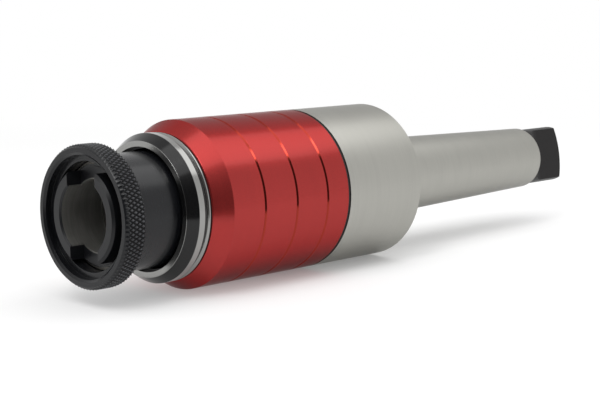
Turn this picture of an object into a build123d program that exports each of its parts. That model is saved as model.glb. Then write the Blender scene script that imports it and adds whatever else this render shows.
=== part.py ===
"""Quick-change tapping chuck with length compensation on a Morse taper 3 shank.

The spindle axis is X. The origin is on that axis at the gauge plane of the taper, +X runs along the
shank towards the tang and +Z is up. The nose points to -X. Lengths are millimetres.
Places along the axis are given as a station: the distance from the gauge plane towards the nose.
"""
from build123d import *
from math import atan, cos, sqrt
import os

os.makedirs("parts", exist_ok=True)

# Morse taper 3 shank with tang
gauge_diameter = 23.825
taper_ratio = 19.922
taper_length = 74.0
taper_edge_break = 0.6
shoulder_station = 5.0
tang_length = 20.0
tang_step = 0.65
tang_thickness = 7.9
tang_flat_length = 13.0
tang_cutter_radius = 7.0
tang_end_dome_radius = 25.0
tang_edge_break = 0.4
tang_turn = -10.0

# Adapter bore and the nose of the float spindle
adapter_bore_diameter = 19.0
adapter_bore_depth = 25.2
adapter_bore_chamfer = 0.45
adapter_seat_width = 0.5
spindle_stand_out = 19.2
spindle_nose_wall = 3.35
spindle_nose_chamfer = 0.65
spindle_edge_break = 0.3
drive_slot_width = 11.6
drive_slot_depth = 4.4
drive_slot_turn = -2.5

# Travel of the float, and of the quick-change collar
compression_travel = 8.0
extension_travel = 8.0
collar_travel = 4.5
lock_ball_travel = 0.75
end_of_travel_room = 1.0

# Balls that lock the adapter
lock_ball_diameter = 4.0
lock_ball_count = 3
lock_ball_depth = 11.2
lock_ball_turn = 45.0
lock_ball_lip_diameter = 3.52
lock_ball_relief_width = 4.6
lock_ball_relief_depth = 0.2

# Quick-change collar
collar_stand_out = 0.3
collar_flange_width = 6.1
collar_flange_height = 3.25
collar_lip_chamfer_height = 0.85
collar_lip_chamfer_length = 1.0
collar_recess_step = 0.5
collar_recess_chamfer_height = 0.65
collar_recess_chamfer_length = 0.5
collar_recess_depth = 2.3
collar_inner_recess_wall = 1.2
collar_inner_recess_depth = 6.6
collar_land_length = 3.0
collar_edge_break = 0.3
collar_guide_length = 3.5
collar_spring_length = 12.0
collar_spring_wire = 0.9
collar_spring_turns = 3.5
collar_spring_play = 0.15
collar_wall = 1.47

# Washer and snap ring that stop the collar
retaining_washer_thickness = 0.8
retaining_washer_play = 0.2
snap_ring_thickness = 0.8
snap_ring_height = 0.5
snap_ring_groove_depth = 0.6
snap_ring_gap = 5.0

# Nose cap, screwed into the mouth of the housing tube
cap_play = 0.5
cap_wall = 1.6
cap_thread_length = 12.0
cap_relief_depth = 0.55
cap_relief_width = 0.9
cap_rim_step = 0.05
cap_rim_width = 1.9
cap_cone_length = 2.9
cap_cone_height = 1.9
cap_mouth_step = 0.55
cap_mouth_depth = 2.2

# Housing tube and the body in front of the shank
mouth_wall = 1.4
mouth_step = 1.0
thread_relief_length = 2.0
collar_room_play = 0.8
body_length = 30.5
body_edge_break = 0.4
guide_bore_bottom_station = 12.0
bolt_hole_room = 3.0

# Red cover sleeve and the rings beside it
sleeve_wall = 3.0
sleeve_length = 48.5
sleeve_lip_length = 2.0
sleeve_cone_length = 5.0
sleeve_cone_height = 2.85
sleeve_edge_break = 0.25
sleeve_front_chamfer = 0.35
groove_count = 3
groove_first_from_back = 8.5
groove_pitch = 11.9
groove_width = 1.0
groove_depth = 0.45
seal_ring_width = 0.8
seal_ring_setback = 0.3
front_seal_width = 0.3
front_seal_setback = 0.3
lock_ring_width = 1.2
lock_ring_bevel_height = 0.9
lock_ring_bevel_length = 0.55

# Balls that carry the torque from the housing tube to the spindle, and the guide they run in
drive_ball_diameter = 8.0
drive_ball_rows = 3
drive_balls_per_row = 2
drive_ball_pitch = 14.0
drive_ball_turn = 30.0
drive_ball_hold = 1.0
groove_end_margin = 0.8
groove_shoulder_width = 0.2
groove_floor_wall = 2.44

# Spindle guide, web and chambers
spindle_neck_step = 1.15
spindle_rear_room = 4.5
rear_chamber_depth = 18.0
web_thickness = 5.0
web_hole_play = 0.3

# Guide bolt, its washers and the two float springs
bolt_diameter = 8.0
bolt_head_diameter = 13.0
bolt_head_height = 8.0
bolt_head_room = 2.0
bolt_socket_width = 6.0
bolt_socket_depth = 4.0
bolt_length = 70.0
bolt_edge_break = 0.6
rear_washer_thickness = 1.5
web_washer_thickness = 1.0
head_washer_thickness = 1.0
chamber_washer_play = 1.3
stop_tube_wall = 1.5
stop_tube_play = 0.1
compression_wire = 2.0
compression_turns = 6.5
compression_spring_play = 0.4
rear_washer_play = 0.2
tension_wire = 1.6
tension_turns = 4.5
tension_spring_play = 1.4

# Clearances on the radius
running_clearance = 0.03
ball_clearance = 0.02
groove_clearance = 0.06
bolt_clearance = 0.1

# Radii, worked outwards from the adapter bore to the cover sleeve
gauge_radius = gauge_diameter / 2
tang_radius = gauge_radius - taper_length / (2 * taper_ratio) - tang_step
bolt_radius = bolt_diameter / 2
drive_ball_radius = drive_ball_diameter / 2
lock_ball_radius = lock_ball_diameter / 2
adapter_radius = adapter_bore_diameter / 2
nose_radius = adapter_radius + spindle_nose_wall
neck_radius = nose_radius + spindle_neck_step
collar_bore_radius = neck_radius + running_clearance
collar_neck_radius = collar_bore_radius + collar_wall
cap_bore_radius = collar_neck_radius + cap_play
cap_thread_radius = cap_bore_radius + cap_wall
tube_mouth_radius = cap_thread_radius + mouth_wall
tube_radius = tube_mouth_radius + mouth_step
body_radius = tube_radius + sleeve_wall
cap_rim_radius = tube_radius + cap_rim_step
collar_room_radius = collar_neck_radius + collar_room_play
drive_ball_circle_radius = tube_radius - drive_ball_radius
guide_bore_radius = drive_ball_circle_radius - drive_ball_hold
guide_radius = guide_bore_radius - running_clearance
groove_radius = drive_ball_radius + groove_clearance
rear_chamber_radius = drive_ball_circle_radius - groove_radius - groove_floor_wall
front_chamber_radius = adapter_radius - adapter_seat_width
washer_bore_radius = bolt_radius + bolt_clearance
web_hole_radius = bolt_radius + web_hole_play
chamber_washer_radius = front_chamber_radius - chamber_washer_play

# Collar profile: the locking balls rest flush with the nose, on a land that leads into a ramp
lock_ball_circle_radius = nose_radius - lock_ball_radius
land_radius = nose_radius + running_clearance
ramp_slope = lock_ball_travel / collar_travel
ramp_radius_at_ball = lock_ball_circle_radius + (lock_ball_radius + running_clearance) / cos(atan(ramp_slope))
flange_radius = collar_neck_radius + collar_flange_height
collar_recess_radius = collar_neck_radius + collar_recess_step
collar_inner_recess_radius = collar_neck_radius - collar_inner_recess_wall

# Stations of the outside, from the shoulder to the nose
shank_length = taper_length + tang_length
tang_flat_end = shank_length - tang_flat_length
body_front_station = shoulder_station + body_length
sleeve_back_station = body_front_station + seal_ring_width
sleeve_front_station = sleeve_back_station + sleeve_length
tube_step_station = sleeve_front_station - sleeve_lip_length
lock_ring_station = sleeve_front_station + front_seal_width
cap_seat_station = lock_ring_station + lock_ring_width
cap_rim_station = cap_seat_station + cap_relief_width
cap_cone_station = cap_rim_station + cap_rim_width
cap_face_station = cap_cone_station + cap_cone_length
cap_rear_station = cap_seat_station - cap_thread_length
thread_relief_station = cap_rear_station - thread_relief_length
spindle_face_station = cap_face_station + spindle_stand_out

# Stations of the nose, the collar and the locking balls
collar_front_station = spindle_face_station + collar_stand_out
collar_flange_station = collar_front_station - collar_flange_width
collar_recess_station = collar_front_station - collar_recess_depth
collar_floor_station = collar_front_station - collar_inner_recess_depth
snap_ring_station = collar_floor_station + retaining_washer_thickness
slot_floor_station = spindle_face_station - drive_slot_depth
lock_ball_station = spindle_face_station - lock_ball_depth
collar_step_station = lock_ball_station - collar_land_length
ramp_station = lock_ball_station + (land_radius - ramp_radius_at_ball) / ramp_slope
ramp_end_radius = land_radius + (collar_floor_station - ramp_station) * ramp_slope
neck_front_station = collar_step_station - collar_spring_length
collar_rear_station = neck_front_station - collar_guide_length

# Stations inside the housing, which leave room for the whole travel
guide_bore_end_station = collar_rear_station - compression_travel - collar_travel - end_of_travel_room
guide_end_station = guide_bore_end_station - end_of_travel_room
last_ball_station = guide_end_station - compression_travel - groove_end_margin - groove_shoulder_width
first_ball_station = last_ball_station - (drive_balls_per_row - 1) * drive_ball_pitch
rear_washer_station = guide_bore_bottom_station + rear_washer_thickness
spindle_rear_station = rear_washer_station + compression_travel + spindle_rear_room
web_rear_station = spindle_rear_station + rear_chamber_depth
web_front_station = web_rear_station + web_thickness
tension_spring_station = web_front_station + web_washer_thickness
adapter_seat_station = spindle_face_station - adapter_bore_depth
bolt_head_front_station = adapter_seat_station - compression_travel - bolt_head_room
bolt_head_station = bolt_head_front_station - bolt_head_height
head_washer_station = bolt_head_station - head_washer_thickness
stop_tube_station = tension_spring_station + extension_travel + stop_tube_play
bolt_tip_station = bolt_head_station - bolt_length
bolt_hole_end_station = bolt_tip_station - bolt_hole_room


def taper_radius(station):
    """Radius of the Morse taper at a station."""
    return gauge_radius + station / (2 * taper_ratio)


def half_section(outline):
    """Half section in the XZ plane through (station, radius) points, ready to be revolved."""
    with BuildSketch(Plane.XZ) as section:
        with BuildLine():
            Polyline(*[(-station, radius) for station, radius in outline], close=True)
        make_face()
    return section.sketch


def plain_ring(back, front, inner, outer):
    """Half section of a plain ring between two stations and two radii."""
    return half_section([(back, inner), (front, inner), (front, outer), (back, outer)])


def radial_plane(station, turn, start_radius):
    """Plane across a radius: its normal points outwards from the axis, turn degrees from +Y."""
    return Plane(origin=(-station, 0, 0), x_dir=(1, 0, 0), z_dir=(0, 1, 0)).rotated((turn, 0, 0)).offset(
        start_radius
    )


def axial_plane(station):
    """Plane across the axis at a station, with its normal towards the nose and its x along +Y."""
    return Plane(origin=(-station, 0, 0), x_dir=(0, 1, 0), z_dir=(-1, 0, 0))


def row_turns(count, first_turn):
    """Angles of evenly spaced rows round the axis."""
    return [first_turn + 360 / count * row for row in range(count)]


def ground_spring(back, front, outer_radius, wire, turns):
    """Coil spring between two stations, its ends ground flat where it seats."""
    mean_radius = outer_radius - wire / 2
    length = front - back
    pitch = length / turns
    with BuildPart() as coil:
        with BuildLine():
            turn_line = Helix(
                pitch=pitch,
                height=length,
                radius=mean_radius,
                center=(-back, 0, 0),
                direction=(-1, 0, 0),
            )
        with BuildSketch(Plane(origin=turn_line @ 0, z_dir=turn_line % 0)):
            Circle(wire / 2)
        sweep(path=turn_line, is_frenet=True)
        for station, past_the_end in ((back, -wire), (front, wire)):
            with BuildSketch(axial_plane(station)):
                Circle(2 * outer_radius)
            extrude(amount=past_the_end, mode=Mode.SUBTRACT)
    return coil.part


# Shank and housing: the taper, the body and the tube under the sleeve are one turned and ground piece
with BuildPart() as shank_housing:
    revolve(
        half_section(
            [
                (-shank_length, 0),
                (-shank_length, tang_radius),
                (-taper_length, tang_radius),
                (-taper_length, taper_radius(-taper_length) - taper_edge_break / 2),
                (-taper_length + taper_edge_break, taper_radius(-taper_length + taper_edge_break)),
                (shoulder_station, taper_radius(shoulder_station)),
                (shoulder_station, body_radius - body_edge_break),
                (shoulder_station + body_edge_break, body_radius),
                (body_front_station, body_radius),
                (body_front_station, tube_radius),
                (tube_step_station, tube_radius),
                (tube_step_station, tube_mouth_radius),
                (sleeve_front_station, tube_mouth_radius),
                (sleeve_front_station, cap_thread_radius),
                (thread_relief_station, cap_thread_radius),
                (thread_relief_station, collar_room_radius),
                (guide_bore_end_station, collar_room_radius),
                (guide_bore_end_station, guide_bore_radius),
                (guide_bore_bottom_station, guide_bore_radius),
                (guide_bore_bottom_station, bolt_radius),
                (bolt_hole_end_station, bolt_radius),
                (bolt_hole_end_station - bolt_radius / 2, 0),
            ]
        ),
        axis=Axis.X,
    )
    with BuildSketch(Plane.XZ):
        with Locations((shank_length, 0)):
            Rectangle(tang_radius, body_radius, align=(Align.MAX, Align.MIN))
        with Locations((shank_length - tang_end_dome_radius, 0)):
            Circle(tang_end_dome_radius, mode=Mode.SUBTRACT)
    revolve(axis=Axis.X, mode=Mode.SUBTRACT)
    for side in (1, -1):
        with BuildSketch(Plane.XY.rotated((tang_turn, 0, 0))):
            with Locations((tang_flat_end, side * (tang_thickness / 2 + tang_cutter_radius))):
                Circle(tang_cutter_radius)
                Rectangle(2 * tang_flat_length, 2 * tang_cutter_radius, align=(Align.MIN, Align.CENTER))
        extrude(amount=body_radius, both=True, mode=Mode.SUBTRACT)
    tang_faces = shank_housing.faces().filter_by(lambda face: face.center().X > tang_flat_end)
    tang_flats = tang_faces.filter_by(GeomType.PLANE)
    flat_edges = tang_flats.edges().filter_by(lambda edge: edge.center().X > tang_flat_end + tang_edge_break)
    fillet(flat_edges, tang_edge_break)
    for turn in row_turns(drive_ball_rows, drive_ball_turn):
        for place in range(drive_balls_per_row):
            station = first_ball_station + place * drive_ball_pitch
            with BuildSketch(radial_plane(station, turn, guide_bore_radius / 2)):
                Circle(drive_ball_radius + ball_clearance)
            extrude(amount=body_radius - guide_bore_radius / 2, mode=Mode.SUBTRACT)
shank_housing.part.label = "shank_housing"
export_step(shank_housing.part, "parts/shank_housing.step")

# Black ring between the ground body and the sleeve
with BuildPart() as seal_ring:
    revolve(
        plain_ring(body_front_station, sleeve_back_station, tube_radius, body_radius - seal_ring_setback),
        axis=Axis.X,
    )
seal_ring.part.label = "seal_ring"
export_step(seal_ring.part, "parts/seal_ring.step")

# Cover sleeve: it keeps the drive balls in their holes and has three turned V grooves
with BuildPart() as cover_sleeve:
    sleeve_bore_radius = tube_radius + ball_clearance
    sleeve_lip_radius = tube_mouth_radius + ball_clearance
    cone_slope = sleeve_cone_height / sleeve_cone_length
    sleeve_edge_radius = body_radius - sleeve_cone_height + sleeve_front_chamfer * cone_slope
    revolve(
        half_section(
            [
                (sleeve_back_station, sleeve_bore_radius),
                (tube_step_station, sleeve_bore_radius),
                (tube_step_station, sleeve_lip_radius),
                (sleeve_front_station, sleeve_lip_radius),
                (sleeve_front_station, body_radius - sleeve_cone_height - sleeve_front_chamfer / 2),
                (sleeve_front_station - sleeve_front_chamfer, sleeve_edge_radius),
                (sleeve_front_station - sleeve_cone_length, body_radius),
                (sleeve_back_station + sleeve_edge_break, body_radius),
                (sleeve_back_station, body_radius - sleeve_edge_break),
            ]
        ),
        axis=Axis.X,
    )
    for number in range(groove_count):
        groove_station = sleeve_back_station + groove_first_from_back + number * groove_pitch
        revolve(
            half_section(
                [
                    (groove_station, body_radius - groove_depth),
                    (groove_station + groove_width / 2, body_radius),
                    (groove_station + groove_width / 2, body_radius + groove_depth),
                    (groove_station - groove_width / 2, body_radius + groove_depth),
                    (groove_station - groove_width / 2, body_radius),
                ]
            ),
            axis=Axis.X,
            mode=Mode.SUBTRACT,
        )
cover_sleeve.part.label = "cover_sleeve"
export_step(cover_sleeve.part, "parts/cover_sleeve.step")

# Balls in the housing holes: each one stands half in the tube wall and half in a spindle groove
with BuildPart() as drive_balls:
    for turn in row_turns(drive_ball_rows, drive_ball_turn):
        for place in range(drive_balls_per_row):
            station = first_ball_station + place * drive_ball_pitch
            with Locations(radial_plane(station, turn, drive_ball_circle_radius)):
                Sphere(drive_ball_radius)
drive_balls.part.label = "drive_balls"
export_step(drive_balls.part, "parts/drive_balls.step")

# Black ring between the front of the sleeve and the lock ring
with BuildPart() as front_seal:
    revolve(
        plain_ring(
            sleeve_front_station,
            lock_ring_station,
            cap_thread_radius + bolt_clearance,
            tube_radius - front_seal_setback,
        ),
        axis=Axis.X,
    )
front_seal.part.label = "front_seal"
export_step(front_seal.part, "parts/front_seal.step")

# Thin steel ring, bevelled in front, that the nose cap is tightened against
with BuildPart() as lock_ring:
    revolve(
        half_section(
            [
                (lock_ring_station, cap_thread_radius + running_clearance),
                (cap_seat_station, cap_thread_radius + running_clearance),
                (cap_seat_station, tube_radius - lock_ring_bevel_height),
                (cap_seat_station - lock_ring_bevel_length, tube_radius),
                (lock_ring_station, tube_radius),
            ]
        ),
        axis=Axis.X,
    )
lock_ring.part.label = "lock_ring"
export_step(lock_ring.part, "parts/lock_ring.step")

# Nose cap: a threaded ring with a bevelled rim and a flat front, through which the collar passes
with BuildPart() as nose_cap:
    revolve(
        half_section(
            [
                (cap_rear_station, cap_bore_radius),
                (cap_face_station - cap_mouth_depth, cap_bore_radius),
                (cap_face_station - cap_mouth_depth, cap_bore_radius + cap_mouth_step),
                (cap_face_station, cap_bore_radius + cap_mouth_step),
                (cap_face_station, cap_rim_radius - cap_cone_height),
                (cap_cone_station, cap_rim_radius),
                (cap_rim_station, cap_rim_radius),
                (cap_rim_station, cap_rim_radius - cap_relief_depth),
                (cap_seat_station, cap_rim_radius - cap_relief_depth),
                (cap_seat_station, cap_thread_radius),
                (cap_rear_station, cap_thread_radius),
            ]
        ),
        axis=Axis.X,
    )
nose_cap.part.label = "nose_cap"
export_step(nose_cap.part, "parts/nose_cap.step")

# Float spindle: grooved guide at the rear, web with the bolt hole, and the adapter bore at the nose
with BuildPart() as float_spindle:
    snap_groove_radius = nose_radius - snap_ring_groove_depth
    relief_radius = adapter_radius + lock_ball_relief_depth
    relief_rear_station = lock_ball_station - lock_ball_relief_width / 2
    relief_front_station = lock_ball_station + lock_ball_relief_width / 2
    revolve(
        half_section(
            [
                (spindle_rear_station, rear_chamber_radius),
                (spindle_rear_station, guide_radius - spindle_edge_break),
                (spindle_rear_station + spindle_edge_break, guide_radius),
                (guide_end_station, guide_radius),
                (guide_end_station, neck_radius),
                (neck_front_station, neck_radius),
                (neck_front_station, nose_radius),
                (snap_ring_station, nose_radius),
                (snap_ring_station, snap_groove_radius),
                (snap_ring_station + snap_ring_thickness, snap_groove_radius),
                (snap_ring_station + snap_ring_thickness, nose_radius),
                (spindle_face_station - spindle_nose_chamfer, nose_radius),
                (spindle_face_station, nose_radius - spindle_nose_chamfer),
                (spindle_face_station, adapter_radius + adapter_bore_chamfer),
                (spindle_face_station - adapter_bore_chamfer, adapter_radius),
                (relief_front_station, adapter_radius),
                (relief_front_station, relief_radius),
                (relief_rear_station, relief_radius),
                (relief_rear_station, adapter_radius),
                (adapter_seat_station, adapter_radius),
                (adapter_seat_station, front_chamber_radius),
                (web_front_station, front_chamber_radius),
                (web_front_station, web_hole_radius),
                (web_rear_station, web_hole_radius),
                (web_rear_station, rear_chamber_radius),
            ]
        ),
        axis=Axis.X,
    )
    with BuildSketch(axial_plane(slot_floor_station).rotated((drive_slot_turn, 0, 0))):
        Rectangle(drive_slot_width, 2 * flange_radius)
    extrude(amount=2 * drive_slot_depth, mode=Mode.SUBTRACT)
    groove_front_station = last_ball_station + compression_travel + groove_end_margin
    groove_length = groove_front_station - spindle_rear_station
    with BuildSketch(axial_plane(spindle_rear_station).rotated((drive_ball_turn, 0, 0))):
        with PolarLocations(drive_ball_circle_radius, drive_ball_rows):
            Circle(groove_radius)
    extrude(amount=groove_length, mode=Mode.SUBTRACT)
    for turn in row_turns(drive_ball_rows, drive_ball_turn):
        with Locations(radial_plane(groove_front_station, turn, drive_ball_circle_radius)):
            Sphere(groove_radius, mode=Mode.SUBTRACT)
    lip_height = sqrt(lock_ball_radius**2 - (lock_ball_lip_diameter / 2) ** 2)
    lip_radius = lock_ball_circle_radius - lip_height
    for turn in row_turns(lock_ball_count, lock_ball_turn):
        with BuildSketch(radial_plane(lock_ball_station, turn, adapter_radius / 2)):
            Circle(lock_ball_lip_diameter / 2)
        extrude(amount=adapter_radius, mode=Mode.SUBTRACT)
        with BuildSketch(radial_plane(lock_ball_station, turn, lip_radius)):
            Circle(lock_ball_radius + running_clearance)
        extrude(amount=adapter_radius, mode=Mode.SUBTRACT)
float_spindle.part.label = "float_spindle"
export_step(float_spindle.part, "parts/float_spindle.step")

# Locking balls, one node each, because each moves outwards on its own line when the collar is pushed back
for number, turn in enumerate(row_turns(lock_ball_count, lock_ball_turn), start=1):
    with BuildPart() as lock_ball:
        with Locations(radial_plane(lock_ball_station, turn, lock_ball_circle_radius)):
            Sphere(lock_ball_radius)
    lock_ball.part.label = f"lock_ball_{number}"
    export_step(lock_ball.part, f"parts/lock_ball_{number}.step")

# Quick-change collar: knurled flange, smooth neck, ball land with a ramp, and room for its spring
with BuildPart() as release_collar:
    revolve(
        half_section(
            [
                (collar_rear_station, collar_bore_radius),
                (collar_step_station, collar_bore_radius),
                (collar_step_station, land_radius),
                (ramp_station, land_radius),
                (collar_floor_station, ramp_end_radius),
                (collar_floor_station, collar_inner_recess_radius),
                (collar_recess_station, collar_inner_recess_radius),
                (collar_recess_station, collar_recess_radius),
                (collar_front_station - collar_recess_chamfer_length, collar_recess_radius),
                (collar_front_station, collar_recess_radius + collar_recess_chamfer_height),
                (collar_front_station, flange_radius - collar_lip_chamfer_height),
                (collar_front_station - collar_lip_chamfer_length, flange_radius),
                (collar_flange_station + collar_edge_break, flange_radius),
                (collar_flange_station, flange_radius - collar_edge_break),
                (collar_flange_station, collar_neck_radius),
                (collar_rear_station + collar_edge_break, collar_neck_radius),
                (collar_rear_station, collar_neck_radius - collar_edge_break),
            ]
        ),
        axis=Axis.X,
    )
release_collar.part.label = "release_collar"
export_step(release_collar.part, "parts/release_collar.step")

# Spring that pushes the collar forward over the balls, from the shoulder of the spindle neck
with BuildPart() as collar_spring:
    add(
        ground_spring(
            neck_front_station,
            collar_step_station,
            neck_radius - collar_spring_play,
            collar_spring_wire,
            collar_spring_turns,
        )
    )
collar_spring.part.label = "collar_spring"
export_step(collar_spring.part, "parts/collar_spring.step")

# Washer and snap ring that stop the collar at the front of its travel
with BuildPart() as collar_washer:
    revolve(
        plain_ring(
            collar_floor_station,
            snap_ring_station,
            nose_radius + running_clearance,
            collar_inner_recess_radius - retaining_washer_play,
        ),
        axis=Axis.X,
    )
collar_washer.part.label = "collar_washer"
export_step(collar_washer.part, "parts/collar_washer.step")

with BuildPart() as snap_ring:
    snap_ring_radius = nose_radius + snap_ring_height
    revolve(
        plain_ring(
            snap_ring_station,
            snap_ring_station + snap_ring_thickness,
            snap_groove_radius + running_clearance,
            snap_ring_radius,
        ),
        axis=Axis.X,
    )
    with BuildSketch(axial_plane(snap_ring_station).rotated((drive_slot_turn, 0, 0))):
        with Locations((snap_ring_radius, 0)):
            Rectangle(2 * snap_ring_radius, snap_ring_gap)
    extrude(amount=snap_ring_thickness, mode=Mode.SUBTRACT)
snap_ring.part.label = "snap_ring"
export_step(snap_ring.part, "parts/snap_ring.step")

# Guide bolt: socket head cap screw in the floor of the housing, on which the float springs ride
with BuildPart() as guide_bolt:
    bolt_head_radius = bolt_head_diameter / 2
    revolve(
        half_section(
            [
                (bolt_tip_station, 0),
                (bolt_head_front_station, 0),
                (bolt_head_front_station, bolt_head_radius - bolt_edge_break),
                (bolt_head_front_station - bolt_edge_break, bolt_head_radius),
                (bolt_head_station, bolt_head_radius),
                (bolt_head_station, bolt_radius),
                (bolt_tip_station + bolt_edge_break, bolt_radius),
                (bolt_tip_station, bolt_radius - bolt_edge_break),
            ]
        ),
        axis=Axis.X,
    )
    with BuildSketch(axial_plane(bolt_head_front_station)):
        RegularPolygon(radius=bolt_socket_width / 2, side_count=6, major_radius=False)
    extrude(amount=-bolt_socket_depth, mode=Mode.SUBTRACT)
guide_bolt.part.label = "guide_bolt"
export_step(guide_bolt.part, "parts/guide_bolt.step")

# Washers that seat the springs, and the tube on the bolt that stops the spindle at full extension
with BuildPart() as rear_washer:
    revolve(
        plain_ring(
            guide_bore_bottom_station,
            rear_washer_station,
            washer_bore_radius,
            rear_chamber_radius - rear_washer_play,
        ),
        axis=Axis.X,
    )
rear_washer.part.label = "rear_washer"
export_step(rear_washer.part, "parts/rear_washer.step")

with BuildPart() as web_washer:
    revolve(
        plain_ring(
            web_front_station,
            tension_spring_station,
            web_hole_radius,
            chamber_washer_radius,
        ),
        axis=Axis.X,
    )
web_washer.part.label = "web_washer"
export_step(web_washer.part, "parts/web_washer.step")

with BuildPart() as head_washer:
    revolve(
        plain_ring(
            head_washer_station,
            bolt_head_station,
            washer_bore_radius,
            chamber_washer_radius,
        ),
        axis=Axis.X,
    )
head_washer.part.label = "head_washer"
export_step(head_washer.part, "parts/head_washer.step")

with BuildPart() as stop_tube:
    revolve(
        plain_ring(
            stop_tube_station,
            head_washer_station,
            washer_bore_radius,
            washer_bore_radius + stop_tube_wall,
        ),
        axis=Axis.X,
    )
stop_tube.part.label = "stop_tube"
export_step(stop_tube.part, "parts/stop_tube.step")

# Springs that hold the float at rest: one gives way when the tap is pushed in, one when it is drawn out
with BuildPart() as compression_spring:
    add(
        ground_spring(
            rear_washer_station,
            web_rear_station,
            rear_chamber_radius - compression_spring_play,
            compression_wire,
            compression_turns,
        )
    )
compression_spring.part.label = "compression_spring"
export_step(compression_spring.part, "parts/compression_spring.step")

with BuildPart() as tension_spring:
    add(
        ground_spring(
            tension_spring_station,
            head_washer_station,
            front_chamber_radius - tension_spring_play,
            tension_wire,
            tension_turns,
        )
    )
tension_spring.part.label = "tension_spring"
export_step(tension_spring.part, "parts/tension_spring.step")
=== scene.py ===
"""Studio scene of a quick-change tapping chuck that lies on a pale floor.

Lengths are metres in the chuck's own frame: X is the spindle axis, the gauge plane of the taper is at x = 0,
the nose points to -X and +Z is up. Sizes that a user may change are properties, written in millimetres.
"""

import math

import bpy
from bpy.props import FloatProperty, FloatVectorProperty, IntProperty, PointerProperty
from mathutils import Euler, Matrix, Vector


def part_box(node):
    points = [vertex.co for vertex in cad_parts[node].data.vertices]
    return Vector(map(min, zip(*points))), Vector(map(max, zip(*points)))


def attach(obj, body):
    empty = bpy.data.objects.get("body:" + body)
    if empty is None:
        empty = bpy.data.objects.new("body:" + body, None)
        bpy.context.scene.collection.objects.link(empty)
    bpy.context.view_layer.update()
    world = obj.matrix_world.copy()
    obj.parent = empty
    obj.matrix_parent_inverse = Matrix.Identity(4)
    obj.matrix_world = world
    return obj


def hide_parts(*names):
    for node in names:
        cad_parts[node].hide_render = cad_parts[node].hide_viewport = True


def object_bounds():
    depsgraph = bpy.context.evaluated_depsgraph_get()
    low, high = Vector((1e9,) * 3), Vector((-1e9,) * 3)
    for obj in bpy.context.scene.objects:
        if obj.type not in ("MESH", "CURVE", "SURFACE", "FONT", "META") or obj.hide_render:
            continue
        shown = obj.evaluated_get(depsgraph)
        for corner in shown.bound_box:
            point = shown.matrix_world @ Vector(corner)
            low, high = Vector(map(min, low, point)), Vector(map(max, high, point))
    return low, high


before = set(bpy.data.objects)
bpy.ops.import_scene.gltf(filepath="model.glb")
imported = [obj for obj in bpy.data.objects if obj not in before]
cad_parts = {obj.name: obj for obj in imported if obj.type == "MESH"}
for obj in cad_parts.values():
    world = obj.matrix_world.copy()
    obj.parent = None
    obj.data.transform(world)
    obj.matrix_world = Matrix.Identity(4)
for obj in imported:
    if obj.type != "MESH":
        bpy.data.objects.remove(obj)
cad_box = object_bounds()

bl_info = {
    "name": "Tapping Chuck Scene",
    "version": (1, 0, 0),
    "blender": (4, 5, 0),
    "location": "3D View > Sidebar > Tapping Chuck",
    "description": "Dresses a quick-change tapping chuck and sets up its studio",
    "category": "Object",
}

MM = 0.001

TANG_LENGTH = 20 * MM

# The bore's ground finish starts behind the chamfer of its mouth and takes in the relief round the ball holes
BORE_RADIUS = 9.5 * MM
BORE_CHAMFER = 0.5 * MM
BORE_MARGIN = 0.3 * MM
BORE_SHEEN = 0.5

# Edge tints of two metals: glancing light crosses more of the dye, and is caught between the grinding marks
DYE_AT_GLANCING = (0.3, 0.13, 0.13, 1.0)
STEEL_AT_GLANCING = (0.65, 0.65, 0.65, 1.0)

# Knurl: rows along the axis, points round one diamond, the depth of its painted shade and highlight, and the
# gloss of valley and crest
KNURL_ROWS = 30
KNURL_SEGMENTS = 12
KNURL_SHADING_DEPTH = 0.36 * MM
KNURL_GLEAM = (0.16, 0.8)

# Turned pieces: steps of a corner's arc, points of one turn, and how much of a stretch one corner may take
ARC_STEPS = 4
SEGMENTS = 288
CORNER_SHARE = 0.45

# A corner that turns by less than this, in radians, counts as straight
STRAIGHT = 1e-6

# Places along the axis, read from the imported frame
SLEEVE_LOW, SLEEVE_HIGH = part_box("cover_sleeve")
CAP_LOW, CAP_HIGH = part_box("nose_cap")
COLLAR_LOW, COLLAR_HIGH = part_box("release_collar")
SPINDLE_LOW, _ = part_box("float_spindle")
LOCK_RING_LOW, LOCK_RING_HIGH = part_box("lock_ring")
_, SHANK_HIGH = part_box("shank_housing")
WHOLE_LOW, _ = cad_box

# Camera of the photograph: place, turn from +Y towards +X, tilt below the horizon, lens on a 36 mm sensor
CAMERA_PLACE = (-0.32244, -0.28738, 0.05662)
CAMERA_TURN = 0.789437
CAMERA_TILT = 0.146661
CAMERA_LENS = 84.432
SENSOR_WIDTH = 36.0

# Level directions as the camera sees them: away from it, and to its left
AWAY = Vector((math.sin(CAMERA_TURN), math.cos(CAMERA_TURN), 0.0))
LEFT = Vector((-AWAY.y, AWAY.x, 0.0))


def linear(hex_colour):
    """Turns an sRGB hex colour into the linear red, green and blue that shaders take."""
    channels = [int(hex_colour[place : place + 2], 16) / 255 for place in (1, 3, 5)]
    return [c / 12.92 if c <= 0.04045 else ((c + 0.055) / 1.055) ** 2.4 for c in channels]


def length_property(name, description, millimetres):
    """A length that the sidebar shows with its unit."""
    return FloatProperty(
        name=name,
        description=description,
        default=millimetres * MM,
        min=0.0,
        precision=5,
        subtype="DISTANCE",
        unit="LENGTH",
    )


def colour_property(name, description, hex_colour):
    """A surface colour that the sidebar shows as a swatch."""
    return FloatVectorProperty(
        name=name,
        description=description,
        default=linear(hex_colour),
        min=0.0,
        max=1.0,
        subtype="COLOR",
    )


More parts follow.
